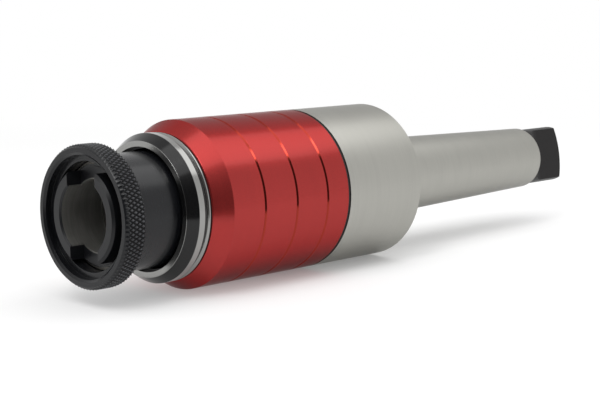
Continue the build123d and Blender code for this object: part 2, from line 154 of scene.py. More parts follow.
class ChuckSizes(bpy.types.PropertyGroup):
    """Sizes of the turned pieces that this scene makes finer than the CAD solids."""

    edge_rounding: length_property("Edge rounding", "Radius of a deburred edge", 0.15)
    ground_edge: length_property("Ground edge", "Radius of an edge that grinding left crisp", 0.06)
    sleeve_cone_length: length_property("Sleeve cone length", "Front cone of the sleeve, along the axis", 5.0)
    sleeve_cone_height: length_property("Sleeve cone height", "Drop of that cone on the radius", 2.85)
    sleeve_front_rounding: length_property("Sleeve front rounding", "Rounded front edge of the sleeve", 0.5)
    sleeve_bore_radius: length_property("Sleeve bore radius", "Seat of the sleeve on the housing tube", 20.02)
    sleeve_lip_radius: length_property("Sleeve lip radius", "Inner radius of the sleeve's front lip", 19.02)
    sleeve_lip_length: length_property("Sleeve lip length", "Length of that lip", 2.0)
    groove_first: length_property("First groove", "From the back of the sleeve to its first groove", 8.5)
    groove_pitch: length_property("Groove pitch", "From one turned V groove to the next", 11.9)
    groove_width: length_property("Groove width", "Width of a turned V groove at the surface", 0.78)
    groove_depth: length_property("Groove depth", "Depth of a turned V groove", 0.45)
    groove_count: IntProperty(
        name="Grooves",
        description="Turned grooves in the sleeve",
        default=3,
        min=0,
        max=4,
    )
    lock_ring_bore: length_property("Lock ring bore", "Inner radius of the lock ring", 17.63)
    lock_ring_bevel_height: length_property("Lock ring bevel height", "Front bevel, on the radius", 0.9)
    lock_ring_bevel_length: length_property("Lock ring bevel length", "Front bevel, along the axis", 0.55)
    lock_ring_back_chamfer: length_property("Lock ring back chamfer", "Small chamfer behind the ring", 0.3)
    cap_thread_length: length_property("Cap thread length", "Threaded rear of the nose cap", 12.0)
    cap_thread_radius: length_property("Cap thread radius", "Outside of that thread", 17.6)
    cap_relief_depth: length_property("Cap relief depth", "Groove behind the cap's rim, on the radius", 0.55)
    cap_relief_width: length_property("Cap relief width", "Width of that groove", 0.9)
    cap_rim_width: length_property("Cap rim width", "Bright cylindrical rim of the cap", 1.9)
    cap_cone_height: length_property("Cap cone height", "Drop of the blackened cone on the radius", 1.9)
    cap_bore_radius: length_property("Cap bore radius", "Bore that the collar slides through", 16.0)
    cap_mouth_step: length_property("Cap mouth step", "Step of the cap's mouth on the radius", 0.55)
    cap_mouth_depth: length_property("Cap mouth depth", "Depth of that step", 2.2)
    collar_bore_radius: length_property("Collar bore radius", "Sliding bore on the spindle neck", 14.03)
    collar_neck_radius: length_property("Collar neck radius", "Smooth neck behind the knurled flange", 15.5)
    collar_flange_width: length_property("Collar flange width", "Width of the knurled flange", 6.1)
    collar_recess_radius: length_property("Collar recess radius", "Outer step of the front recess", 16.0)
    collar_recess_depth: length_property("Collar recess depth", "Depth of the outer step", 2.3)
    collar_inner_radius: length_property("Collar inner radius", "Inner step of the front recess", 14.3)
    collar_inner_depth: length_property("Collar inner depth", "Depth of the inner step", 6.6)
    collar_land_radius: length_property("Collar land radius", "Land that holds the locking balls in", 12.88)
    collar_land_start: length_property("Collar land start", "From the front to the rear of that land", 14.5)
    collar_land_end: length_property("Collar land end", "From the front to the start of the ramp", 11.67)
    collar_ramp_radius: length_property("Collar ramp radius", "Radius at the front end of the ramp", 13.72)
    lip_chamfer_height: length_property("Lip chamfer height", "Outer chamfer of the lip, on the radius", 0.85)
    lip_chamfer_length: length_property("Lip chamfer length", "Outer chamfer of the lip, along the axis", 1.0)
    mouth_chamfer_height: length_property("Mouth chamfer height", "Inner chamfer, on the radius", 0.65)
    mouth_chamfer_length: length_property("Mouth chamfer length", "Inner chamfer, along the axis", 0.5)
    knurl_depth: length_property("Knurl depth", "From the crests to the valleys of the diamonds", 0.48)
    knurl_count: IntProperty(
        name="Knurl diamonds",
        description="Diamonds in one turn",
        default=96,
        min=24,
        max=200,
    )
    knurl_angle: FloatProperty(
        name="Knurl angle",
        description="Angle of the knurl's grooves to the axis",
        default=math.radians(30),
        subtype="ANGLE",
    )


class ChuckColours(bpy.types.PropertyGroup):
    """Colours of the surfaces, as they reflect white light."""

    ground_steel: colour_property("Ground steel", "Body and taper", "#a8a7a1")
    tang_scale: colour_property("Tang scale", "Dark hardening scale on the tang", "#343333")
    red_anodise: colour_property("Red anodise", "Cover sleeve", "#a1302e")
    thin_dye: colour_property("Thin dye", "Turned grooves of the cover sleeve", "#96352a")
    polished_steel: colour_property("Polished steel", "Cap rim, cap face and lock ring", "#969694")
    bore_steel: colour_property("Bore steel", "Adapter bore, ground after blackening", "#767571")
    black_oxide: colour_property("Black oxide", "Collar and spindle", "#131417")
    oiled_black: colour_property("Oiled black", "Polished black cone of the nose cap", "#0b0b0c")
    bearing_steel: colour_property("Bearing steel", "Locking balls and drive balls", "#c4c4c4")
    spring_steel: colour_property("Spring steel", "Coil springs", "#85817c")
    washer_steel: colour_property("Washer steel", "Plain washers and the stop tube", "#75726d")
    rubber: colour_property("Rubber", "Seal rings", "#0f0f10")
    floor: colour_property("Floor", "Studio floor", "#f7f7f7")


def add_node(tree, kind, inputs=None, **settings):
    """Adds a node, sets its options, and fills its inputs with values or with the outputs of other nodes."""
    node = tree.nodes.new(kind)
    for option, value in settings.items():
        setattr(node, option, value)
    for socket, value in (inputs or {}).items():
        if isinstance(value, bpy.types.Node):
            value = value.outputs[0]
        if isinstance(value, bpy.types.NodeSocket):
            tree.links.new(value, node.inputs[socket])
        else:
            node.inputs[socket].default_value = value
    return node


def opaque(colour):
    """A colour property with full alpha, as colour sockets take it."""
    return (*colour, 1.0)


def axis_place(tree):
    """Where a surface point lies: along the axis, how far from the axis, and in which direction from it."""
    place = add_node(tree, "ShaderNodeTexCoord").outputs["Object"]
    parts = add_node(tree, "ShaderNodeSeparateXYZ", {"Vector": place})
    across = add_node(tree, "ShaderNodeCombineXYZ", {"Y": parts.outputs["Y"], "Z": parts.outputs["Z"]})
    radius = add_node(tree, "ShaderNodeVectorMath", {0: across}, operation="LENGTH").outputs["Value"]
    outward = add_node(tree, "ShaderNodeVectorMath", {0: across}, operation="NORMALIZE").outputs["Vector"]
    return parts.outputs["X"], radius, outward


def turned_marks(tree, spacing, changes):
    """Noise drawn out round the axis like lathe or grinding marks, from 0 to 1.

    spacing is the distance between marks in metres, changes says how often a mark changes in one turn.
    """
    along, radius, outward = axis_place(tree)
    profile = add_node(tree, "ShaderNodeMath", {0: along, 1: radius}, operation="ADD")
    step = add_node(tree, "ShaderNodeMath", {0: profile, 1: spacing}, operation="DIVIDE")
    line = add_node(tree, "ShaderNodeCombineXYZ", {"X": step})
    ring = add_node(tree, "ShaderNodeVectorMath", {0: outward, "Scale": changes}, operation="SCALE")
    point = add_node(tree, "ShaderNodeVectorMath", {0: line, 1: ring}, operation="ADD")
    marks = add_node(tree, "ShaderNodeTexNoise", {"Vector": point, "Scale": 1.0, "Detail": 2.0})
    return marks.outputs["Fac"]


def two_marks(tree, spacing, broad_spacing, changes, share):
    """Fine turned marks with a share of broad ones."""
    fine = turned_marks(tree, spacing, changes)
    broad = turned_marks(tree, broad_spacing, changes)
    return add_node(tree, "ShaderNodeMix", {"Factor": share, 2: fine, 3: broad}).outputs[0]


def blackened_marks(tree):
    """The lathe's rings as they show through the oxide of the blackened pieces."""
    return two_marks(tree, spacing=0.5 * MM, broad_spacing=3.0 * MM, changes=1.5, share=0.4)


def grain(tree, size):
    """Even noise with the given grain size in metres, from 0 to 1."""
    place = add_node(tree, "ShaderNodeTexCoord").outputs["Object"]
    noise = add_node(tree, "ShaderNodeTexNoise", {"Vector": place, "Scale": 1 / size, "Detail": 3.0})
    return noise.outputs["Fac"]


def finish(tree, colour, pattern, tone, roughness, depth, **sockets):
    """Surface whose colour, roughness and relief follow one 0 to 1 pattern.

    tone holds the ends of the brightness factor, roughness its own ends, depth the relief in metres.
    Other sockets of the shader are given by name, with underscores for spaces.
    """
    factor = add_node(tree, "ShaderNodeMapRange", {"Value": pattern, "To Min": tone[0], "To Max": tone[1]})
    tinted = add_node(tree, "ShaderNodeVectorMath", {0: colour, "Scale": factor}, operation="SCALE")
    gloss = add_node(
        tree, "ShaderNodeMapRange", {"Value": pattern, "To Min": roughness[0], "To Max": roughness[1]}
    )
    normal = add_node(tree, "ShaderNodeBump", {"Height": pattern, "Distance": depth})
    inputs = {socket.replace("_", " "): value for socket, value in sockets.items()}
    inputs.update({"Base Color": tinted, "Roughness": gloss, "Normal": normal})
    shader = add_node(tree, "ShaderNodeBsdfPrincipled", inputs)
    add_node(tree, "ShaderNodeOutputMaterial", {"Surface": shader})


def ground_alloy_steel(tree, colours):
    """Alloy steel, cylindrically ground: satin, with fine marks round the axis that draw highlights out.

    Behind the end of the taper the steel keeps its hardening scale, dark, dull and slightly mottled.
    """
    # Real grinding marks are about 0.02 mm apart; they are drawn 0.5 mm apart so that they show
    marks = two_marks(tree, spacing=0.5 * MM, broad_spacing=4.0 * MM, changes=1.2, share=0.45)
    along, _, _ = axis_place(tree)
    taper_end = SHANK_HIGH.x - TANG_LENGTH
    tang = add_node(tree, "ShaderNodeMath", {0: along, 1: taper_end}, operation="GREATER_THAN")
    pattern = add_node(tree, "ShaderNodeMix", {"Factor": tang, 2: marks, 3: grain(tree, 1.2 * MM)}).outputs[0]
    colour = add_node(
        tree,
        "ShaderNodeMix",
        {"Factor": tang, 6: opaque(colours.ground_steel), 7: opaque(colours.tang_scale)},
        data_type="RGBA",
    ).outputs[2]
    finish(
        tree,
        colour,
        pattern,
        tone=(0.9, 1.1),
        roughness=(0.28, 0.42),
        depth=0.003 * MM,
        Metallic=1.0,
        Specular_Tint=STEEL_AT_GLANCING,
        Anisotropic=0.5,
        Tangent=add_node(tree, "ShaderNodeTangent", direction_type="RADIAL", axis="X"),
    )


def red_anodised_aluminium(tree, colours):
    """Aluminium, fine turned, anodised and dyed: metal sheen under a clear red skin, with faint rings."""
    # The turning feed is about 0.08 mm; it is drawn at 0.45 mm so that it shows
    finish(
        tree,
        tuple(colours.red_anodise),
        two_marks(tree, spacing=0.45 * MM, broad_spacing=3.5 * MM, changes=0.8, share=0.4),
        tone=(0.92, 1.08),
        roughness=(0.2, 0.3),
        depth=0.002 * MM,
        Metallic=0.88,
        Anisotropic=0.3,
        Tangent=add_node(tree, "ShaderNodeTangent", direction_type="RADIAL", axis="X"),
        Specular_Tint=DYE_AT_GLANCING,
        Coat_Weight=0.22,
        Coat_Roughness=0.15,
        Coat_IOR=1.6,
    )


def bright_cut_anodised_groove(tree, colours):
    """Anodised aluminium, cut with a polished tool: the dye lies thin, so the groove flashes orange."""
    finish(
        tree,
        tuple(colours.thin_dye),
        turned_marks(tree, spacing=0.3 * MM, changes=1.0),
        tone=(0.9, 1.1),
        roughness=(0.1, 0.16),
        depth=0.001 * MM,
        Metallic=1.0,
    )


def polished_turned_steel(tree, colours):
    """Steel, fine turned and polished: clear reflections with a trace of rings."""
    finish(
        tree,
        tuple(colours.polished_steel),
        turned_marks(tree, spacing=0.3 * MM, changes=1.0),
        tone=(0.95, 1.05),
        roughness=(0.14, 0.22),
        depth=0.001 * MM,
        Metallic=1.0,
    )


def black_oxide_steel(tree, colours):
    """Steel, turned and blackened: a dark, slightly blue skin of oxide with a soft gloss and lathe rings."""
    finish(
        tree,
        tuple(colours.black_oxide),
        blackened_marks(tree),
        tone=(0.85, 1.15),
        roughness=(0.2, 0.32),
        depth=0.003 * MM,
        Specular_IOR_Level=0.32,
    )


def black_knurl_with_painted_light(tree, colours):
    """Steel, knurled and blackened: painted shade darkens the valleys and a painted highlight lightens the
    crests, which are glossier.
    """
    _, radius, _ = axis_place(tree)
    crest = COLLAR_HIGH.y
    # Painted light: the colour runs from painted shade in the valleys to a painted highlight on the crests
    crest_height = add_node(
        tree, "ShaderNodeMapRange", {"Value": radius, "From Min": crest - KNURL_SHADING_DEPTH, "From Max": crest}
    ).outputs[0]
    gleam = add_node(
        tree, "ShaderNodeMapRange", {"Value": crest_height, "To Min": KNURL_GLEAM[0], "To Max": KNURL_GLEAM[1]}
    ).outputs[0]
    finish(
        tree,
        tuple(colours.black_oxide),
        crest_height,
        tone=(0.3, 5.0),
        roughness=(0.5, 0.2),
        depth=0.001 * MM,
        Specular_IOR_Level=gleam,
    )


def black_steel_with_ground_bore(tree, colours):
    """Steel, blackened, with its adapter bore ground after that: thin grey rings on dull metal."""
    along, radius, _ = axis_place(tree)
    widest = BORE_RADIUS + BORE_MARGIN
    mouth = SPINDLE_LOW.x + BORE_CHAMFER
    narrow = add_node(tree, "ShaderNodeMath", {0: radius, 1: widest}, operation="LESS_THAN")
    behind_edge = add_node(tree, "ShaderNodeMath", {0: along, 1: mouth}, operation="GREATER_THAN")
    bore = add_node(tree, "ShaderNodeMath", {0: narrow, 1: behind_edge}, operation="MULTIPLY")
    colour = add_node(
        tree,
        "ShaderNodeMix",
        {"Factor": bore, 6: opaque(colours.black_oxide), 7: opaque(colours.bore_steel)},
        data_type="RGBA",
    ).outputs[2]
    sheen = add_node(tree, "ShaderNodeMath", {0: bore, 1: BORE_SHEEN}, operation="MULTIPLY")
    finish(
        tree,
        colour,
        blackened_marks(tree),
        tone=(0.55, 1.45),
        roughness=(0.3, 0.46),
        depth=0.006 * MM,
        Metallic=sheen,
        Specular_IOR_Level=0.34,
    )


def oiled_black_steel(tree, colours):
    """Steel, polished, blackened and oiled: deep glossy black that mirrors the studio faintly."""
    finish(
        tree,
        tuple(colours.oiled_black),
        turned_marks(tree, spacing=0.4 * MM, changes=1.0),
        tone=(0.8, 1.2),
        roughness=(0.1, 0.17),
        depth=0.001 * MM,
        Specular_IOR_Level=0.36,
    )


def lapped_bearing_steel(tree, colours):
    """Bearing steel, lapped: a clean mirror with barely any grain."""
    finish(
        tree,
        tuple(colours.bearing_steel),
        grain(tree, 0.4 * MM),
        tone=(0.97, 1.03),
        roughness=(0.06, 0.14),
        depth=0.0002 * MM,
        Metallic=1.0,
    )


def oil_hardened_spring_wire(tree, colours):
    """Spring wire, drawn and oil hardened: brownish grey metal with a dull skin."""
    finish(
        tree,
        tuple(colours.spring_steel),
        grain(tree, 0.5 * MM),
        tone=(0.8, 1.2),
        roughness=(0.3, 0.5),
        depth=0.01 * MM,
        Metallic=1.0,
    )


def plain_turned_steel(tree, colours):
    """Steel, turned and left bare: grey satin metal with plain lathe rings."""
    finish(
        tree,
        tuple(colours.washer_steel),
        turned_marks(tree, spacing=0.3 * MM, changes=2.0),
        tone=(0.9, 1.1),
        roughness=(0.3, 0.45),
        depth=0.005 * MM,
        Metallic=1.0,
    )


def moulded_nitrile_rubber(tree, colours):
    """Nitrile rubber, moulded: matt near-black with a fine powdery grain."""
    finish(
        tree,
        tuple(colours.rubber),
        grain(tree, 0.3 * MM),
        tone=(0.8, 1.2),
        roughness=(0.5, 0.7),
        depth=0.01 * MM,
    )


def material_of(maker, context):
    """The material that a maker's nodes give, made once and shared by every piece that has it."""
    material = bpy.data.materials.get(maker.__name__)
    if material is None:
        material = bpy.data.materials.new(maker.__name__)
        material.use_nodes = True
        material.node_tree.nodes.clear()
        maker(material.node_tree, context.scene.chuck_colours)
    return material


def dress(maker, context, *nodes):
    """Gives CAD nodes their finish."""
    material = material_of(maker, context)
    for node in nodes:
        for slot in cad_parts[node].material_slots:
            slot.material = material


def rounded(outline):
    """Turns a closed outline into points with an arc at each corner.

    A corner is (x, radius, rounding) and may add the index of the material of the stretch after it. The
    corners run anticlockwise in the (x, radius) plane. A point is (x, radius, normal x, normal radius,
    index), and an arc between two materials takes the lower index.
    """
    points = []
    for place, (x, radius, rounding, *index) in enumerate(outline):
        here = Vector((x, radius))
        before = here - Vector(outline[place - 1][:2])
        after = Vector(outline[(place + 1) % len(outline)][:2]) - here
        room = CORNER_SHARE * min(before.length, after.length)
        before.normalize()
        after.normalize()
        turn = math.atan2(before.cross(after), before.dot(after))
        start = Vector((before.y, -before.x))
        stretch_index = index[0] if index else 0
        arc_index = min(stretch_index, (outline[place - 1][3:] or (0,))[0])
        if abs(turn) < STRAIGHT:
            points.append((x, radius, start.x, start.y, stretch_index))
            continue
        half_turn = math.tan(abs(turn) / 2)
        cut = min(rounding * half_turn, room)
        side = math.copysign(1.0, turn)
        bend = side * cut / half_turn
        centre = here - cut * before - bend * start
        for step in range(ARC_STEPS + 1):
            angle = turn * step / ARC_STEPS
            normal = Vector(
                (
                    start.x * math.cos(angle) - start.y * math.sin(angle),
                    start.x * math.sin(angle) + start.y * math.cos(angle),
                )
            )
            spot = centre + bend * normal
            points.append((*spot, *normal, arc_index if step < ARC_STEPS else stretch_index))
    return points


def turned_mesh(name, points, segments, radius_at=None):
    """Revolves outline points round the spindle axis into a closed mesh with smooth true normals.

    radius_at(x, radius, angle), where given, returns the radius that a pattern leaves there.
    """
    places = []
    normals = []
    faces = []
    indices = []
    for row, (x, radius, normal_x, normal_radius, index) in enumerate(points):
        above = (row + 1) % len(points)
        for segment in range(segments):
            angle = 2 * math.pi * segment / segments
            cut = radius_at(x, radius, angle) if radius_at else radius
            places.append((x, cut * math.cos(angle), cut * math.sin(angle)))
            if cut < radius:
                normals.append((0.0, 0.0, 0.0))
            else:
                normals.append((normal_x, normal_radius * math.cos(angle), normal_radius * math.sin(angle)))
            beside = (segment + 1) % segments
            here = row * segments
            there = above * segments
            faces.append((here + segment, there + segment, there + beside, here + beside))
            indices.append(index)
    mesh = bpy.data.meshes.new(name)
    mesh.from_pydata(places, [], faces)
    mesh.polygons.foreach_set("material_index", indices)
    mesh.shade_smooth()
    mesh.normals_split_custom_set_from_vertices(normals)
    return mesh


def add_piece(mesh, materials, body, node):
    """Puts a piece in the scene in place of a CAD node and lets it ride on that node's body."""
    for material in materials:
        mesh.materials.append(material)
    piece = bpy.data.objects.new(mesh.name, mesh)
    bpy.context.scene.collection.objects.link(piece)
    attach(piece, body)
    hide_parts(node)


class CHUCK_OT_ground_body(bpy.types.Operator):
    """Finish the ground body, its taper and the tang"""

    bl_idname = "chuck.ground_body"
    bl_label = "Ground Body"

    def execute(self, context):
        dress(ground_alloy_steel, context, "shank_housing")
        return {"FINISHED"}


class CHUCK_OT_seals(bpy.types.Operator):
    """Finish the two black seal rings at the ends of the cover sleeve"""

    bl_idname = "chuck.seals"
    bl_label = "Seal Rings"

    def execute(self, context):
        dress(moulded_nitrile_rubber, context, "seal_ring", "front_seal")
        return {"FINISHED"}


class CHUCK_OT_cover_sleeve(bpy.types.Operator):
    """Turn the red cover sleeve with its V grooves and front cone"""

    bl_idname = "chuck.cover_sleeve"
    bl_label = "Cover Sleeve"

    def execute(self, context):
        sizes = context.scene.chuck_sizes
        crisp = sizes.ground_edge
        front = SLEEVE_LOW.x
        back = SLEEVE_HIGH.x
        outside = SLEEVE_HIGH.y
        thin_dye = 1
        outline = [
            (front, sizes.sleeve_lip_radius, crisp),
            (front + sizes.sleeve_lip_length, sizes.sleeve_lip_radius, crisp),
            (front + sizes.sleeve_lip_length, sizes.sleeve_bore_radius, crisp),
            (back, sizes.sleeve_bore_radius, crisp),
            (back, outside, 2 * sizes.edge_rounding),
        ]
        for number in range(sizes.groove_count):
            centre = back - sizes.groove_first - number * sizes.groove_pitch
            outline += [
                (centre + sizes.groove_width / 2, outside, crisp, thin_dye),
                (centre, outside - sizes.groove_depth, crisp, thin_dye),
                (centre - sizes.groove_width / 2, outside, crisp),
            ]
        outline += [
            (front + sizes.sleeve_cone_length, outside, sizes.edge_rounding),
            (front, outside - sizes.sleeve_cone_height, sizes.sleeve_front_rounding),
        ]
        mesh = turned_mesh("cover_sleeve_turned", rounded(outline), SEGMENTS)
        makers = (red_anodised_aluminium, bright_cut_anodised_groove)
        finishes = [material_of(maker, context) for maker in makers]
        add_piece(mesh, finishes, "housing", "cover_sleeve")
        return {"FINISHED"}


class CHUCK_OT_lock_ring(bpy.types.Operator):
    """Turn the thin bevelled ring behind the nose cap"""

    bl_idname = "chuck.lock_ring"
    bl_label = "Lock Ring"

    def execute(self, context):
        sizes = context.scene.chuck_sizes
        crisp = sizes.ground_edge
        front = LOCK_RING_LOW.x
        back = LOCK_RING_HIGH.x
        outside = LOCK_RING_HIGH.y
        outline = [
            (front, sizes.lock_ring_bore, crisp),
            (back, sizes.lock_ring_bore, crisp),
            (back, outside - sizes.lock_ring_back_chamfer, crisp),
            (back - sizes.lock_ring_back_chamfer, outside, crisp),
            (front + sizes.lock_ring_bevel_length, outside, crisp),
            (front, outside - sizes.lock_ring_bevel_height, crisp),
        ]
        mesh = turned_mesh("lock_ring_turned", rounded(outline), SEGMENTS)
        bright = material_of(polished_turned_steel, context)
        add_piece(mesh, [bright], "housing", "lock_ring")
        return {"FINISHED"}


class CHUCK_OT_nose_cap(bpy.types.Operator):
    """Turn the nose cap, with its blackened cone between bright rim and bright face, and painted shade in
    black in the groove behind the rim
    """

    bl_idname = "chuck.nose_cap"
    bl_label = "Nose Cap"

    def execute(self, context):
        sizes = context.scene.chuck_sizes
        edge = sizes.edge_rounding
        crisp = sizes.ground_edge
        face = CAP_LOW.x
        rear = CAP_HIGH.x
        rim = CAP_HIGH.y
        seat = rear - sizes.cap_thread_length
        rim_back = seat - sizes.cap_relief_width
        rim_front = rim_back - sizes.cap_rim_width
        mouth = sizes.cap_bore_radius + sizes.cap_mouth_step
        mouth_floor = face + sizes.cap_mouth_depth
        black = 1
        outline = [
            (face, mouth, edge, black),
            (mouth_floor, mouth, crisp, black),
            (mouth_floor, sizes.cap_bore_radius, edge, black),
            (rear, sizes.cap_bore_radius, edge),
            (rear, sizes.cap_thread_radius, edge),
            (seat, sizes.cap_thread_radius, crisp),
            # Painted shade: the groove behind the rim takes the black finish of the cone
            (seat, rim - sizes.cap_relief_depth, crisp, black),
            (rim_back, rim - sizes.cap_relief_depth, crisp, black),
            (rim_back, rim, edge),
            (rim_front, rim, edge, black),
            (face, rim - sizes.cap_cone_height, edge),
        ]
        mesh = turned_mesh("nose_cap_turned", rounded(outline), SEGMENTS)
        makers = (polished_turned_steel, oiled_black_steel)
        finishes = [material_of(maker, context) for maker in makers]
        add_piece(mesh, finishes, "housing", "nose_cap")
        return {"FINISHED"}


class CHUCK_OT_release_collar(bpy.types.Operator):
    """Turn and knurl the quick-change collar"""

    bl_idname = "chuck.release_collar"
    bl_label = "Release Collar"

    def execute(self, context):
        sizes = context.scene.chuck_sizes
        edge = sizes.edge_rounding
        crisp = sizes.ground_edge
        front = COLLAR_LOW.x
        rear = COLLAR_HIGH.x
        outside = COLLAR_HIGH.y
        flange_back = front + sizes.collar_flange_width
        knurl_front = front + sizes.lip_chamfer_length
        knurl_back = flange_back - 2 * edge
        step = (knurl_back - knurl_front) / KNURL_ROWS
        outline = [
            (front, sizes.collar_recess_radius + sizes.mouth_chamfer_height, crisp),
            (front + sizes.mouth_chamfer_length, sizes.collar_recess_radius, crisp),
            (front + sizes.collar_recess_depth, sizes.collar_recess_radius, crisp),
            (front + sizes.collar_recess_depth, sizes.collar_inner_radius, edge),
            (front + sizes.collar_inner_depth, sizes.collar_inner_radius, crisp),
            (front + sizes.collar_inner_depth, sizes.collar_ramp_radius, edge),
            (front + sizes.collar_land_end, sizes.collar_land_radius, crisp),
            (front + sizes.collar_land_start, sizes.collar_land_radius, crisp),
            (front + sizes.collar_land_start, sizes.collar_bore_radius, crisp),
            (rear, sizes.collar_bore_radius, crisp),
            (rear, sizes.collar_neck_radius, 2 * edge),
            (flange_back, sizes.collar_neck_radius, edge),
            (flange_back, outside, edge),
        ]
        # The knurled rows get painted shade in their valleys and painted highlights on their crests
        painted_knurl = 1
        outline += [(knurl_back - row * step, outside, 0.0, painted_knurl) for row in range(KNURL_ROWS)]
        outline += [
            (knurl_front, outside, crisp),
            (front, outside - sizes.lip_chamfer_height, crisp),
        ]
        turn_pitch = 2 * math.pi * outside / sizes.knurl_count
        slope = turn_pitch * math.cos(sizes.knurl_angle) / 2

        def knurled_radius(x, radius, angle):
            """Two sets of crossing V grooves cut the flange into diamonds."""
            if x > flange_back + edge or radius < outside - sizes.knurl_depth:
                return radius
            turns = sizes.knurl_count * angle / (2 * math.pi)
            shift = (x - front) * math.tan(sizes.knurl_angle) / turn_pitch
            heights = [slope * abs(2 * ((turns + way * shift) % 1.0) - 1) for way in (1, -1)]
            return min(radius, outside - sizes.knurl_depth + min(sizes.knurl_depth, *heights))

        segments = KNURL_SEGMENTS * sizes.knurl_count
        mesh = turned_mesh("release_collar_knurled", rounded(outline), segments, knurled_radius)
        makers = (black_oxide_steel, black_knurl_with_painted_light)
        finishes = [material_of(maker, context) for maker in makers]
        add_piece(mesh, finishes, "collar", "release_collar")
        return {"FINISHED"}


class CHUCK_OT_spindle(bpy.types.Operator):
    """Finish the float spindle and the snap ring on it"""

    bl_idname = "chuck.spindle"
    bl_label = "Float Spindle"

    def execute(self, context):
        dress(black_steel_with_ground_bore, context, "float_spindle")
        dress(black_oxide_steel, context, "snap_ring")
        return {"FINISHED"}


class CHUCK_OT_inner_pieces(bpy.types.Operator):
    """Finish the bolt, washers, springs and balls inside the chuck"""

    bl_idname = "chuck.inner_pieces"
    bl_label = "Inner Pieces"

    def execute(self, context):
        dress(lapped_bearing_steel, context, "drive_balls", "lock_ball_1", "lock_ball_2", "lock_ball_3")
        dress(oil_hardened_spring_wire, context, "compression_spring", "tension_spring", "collar_spring")
        washers = ("rear_washer", "head_washer", "web_washer", "collar_washer")
        dress(plain_turned_steel, context, "stop_tube", *washers)
        dress(black_oxide_steel, context, "guide_bolt")
        return {"FINISHED"}


# The floor ends just in front of the picture, so that steep front faces mirror the dim room below it
FLOOR_RADIUS = 6.0
FLOOR_CORNERS = 96
FLOOR_FRONT = 0.175

# Far behind the chuck the floor glows plain white; nearer, a share of that glow is painted light over its
# shadow, least where it touches
FLOOR_NEAR = 0.16
FLOOR_FAR = 0.45
FLOOR_GRAIN = 40 * MM
FLOOR_TONE = (0.995, 1.005)
CONTACT_GLOW = 0.19
SHADOW_GLOW = 0.46
SHADOW_CENTRE = (0.001, 0.0, 0.0)
SHADOW_STRETCH = (0.25, 1.0, 0.0)
SHADOW_NEAR = 0.008
SHADOW_FAR = 0.035

# An evenly bright flat lamp sends out pi watts per square metre for each unit of radiance
LAMP_RADIANCE_TO_WATTS = math.pi

# Studio walls: their white, and the dim side behind the camera that gives the metal its dark reflections
WALL_COLOUR = (1.0, 1.0, 1.0, 1.0)
CEILING_COLOUR = (0.75, 0.75, 0.75, 1.0)
CEILING_RISE = 0.9
DIM_COLOUR = (0.12, 0.12, 0.12, 1.0)
DIM_TURN = math.radians(-150)
DIM_RISE = 0.0
DIM_EDGE = 0.45
DIM_CORE = 0.8


def matt_floor_with_painted_glow(tree, colours):
    """Floor paint, rolled matt: shaded softly round the chuck under a glowing share that paints light into
    its shadow, and plain white from some way behind it.
    """
    place = add_node(tree, "ShaderNodeTexCoord").outputs["Object"]
    behind = add_node(
        tree, "ShaderNodeVectorMath", {0: place, 1: AWAY}, operation="DOT_PRODUCT"
    ).outputs["Value"]
    far = add_node(
        tree,
        "ShaderNodeMapRange",
        {"Value": behind, "From Min": FLOOR_NEAR, "From Max": FLOOR_FAR},
        interpolation_type="SMOOTHSTEP",
    )
    oval = add_node(
        tree,
        "ShaderNodeVectorMath",
        {0: place, 1: SHADOW_STRETCH, 2: SHADOW_CENTRE},
        operation="MULTIPLY_ADD",
    )
    reach = add_node(tree, "ShaderNodeVectorMath", {0: oval}, operation="LENGTH").outputs["Value"]
    # Painted light: a share of glowing white that lightens the chuck's shadow, smallest where it touches the
    # floor
    near = add_node(
        tree,
        "ShaderNodeMapRange",
        {
            "Value": reach,
            "From Min": SHADOW_NEAR,
            "From Max": SHADOW_FAR,
            "To Min": CONTACT_GLOW,
            "To Max": SHADOW_GLOW,
        },
        interpolation_type="SMOOTHSTEP",
    )
    white_share = add_node(tree, "ShaderNodeMath", {0: far, 1: near}, operation="MAXIMUM")
    ray = add_node(tree, "ShaderNodeLightPath")
    camera_or_glossy = add_node(
        tree,
        "ShaderNodeMath",
        {0: ray.outputs["Is Camera Ray"], 1: ray.outputs["Is Glossy Ray"]},
        operation="ADD",
    )
    seen = add_node(
        tree, "ShaderNodeMath", {0: camera_or_glossy, 1: ray.outputs["Is Transmission Ray"]}, operation="ADD"
    )
    share = add_node(tree, "ShaderNodeMath", {0: white_share, 1: seen}, operation="MULTIPLY", use_clamp=True)
    mottle = grain(tree, FLOOR_GRAIN)
    factor = add_node(
        tree, "ShaderNodeMapRange", {"Value": mottle, "To Min": FLOOR_TONE[0], "To Max": FLOOR_TONE[1]}
    )
    white_paint = tuple(colours.floor)
    colour = add_node(tree, "ShaderNodeVectorMath", {0: white_paint, "Scale": factor}, operation="SCALE")
    paint = add_node(
        tree, "ShaderNodeBsdfPrincipled", {"Base Color": colour, "Roughness": 0.9, "Specular IOR Level": 0.0}
    )
    white = add_node(tree, "ShaderNodeEmission", {"Color": (1, 1, 1, 1), "Strength": 1.0})
    mixed = add_node(tree, "ShaderNodeMixShader", {"Fac": share, 1: paint, 2: white})
    add_node(tree, "ShaderNodeOutputMaterial", {"Surface": mixed})


def add_lamp(name, place, aim, width, length, radiance, colour):
    """A soft rectangular lamp of the given brightness, pointed from its place at its aim."""
    light = bpy.data.lights.new(name, "AREA")
    light.shape = "RECTANGLE"
    light.size = width
    light.size_y = length
    light.energy = radiance * width * length * LAMP_RADIANCE_TO_WATTS
    light.color = linear(colour)
    lamp = bpy.data.objects.new(name, light)
    lamp.location = place
    lamp.rotation_euler = (Vector(aim) - Vector(place)).to_track_quat("-Z", "Y").to_euler()
    bpy.context.scene.collection.objects.link(lamp)


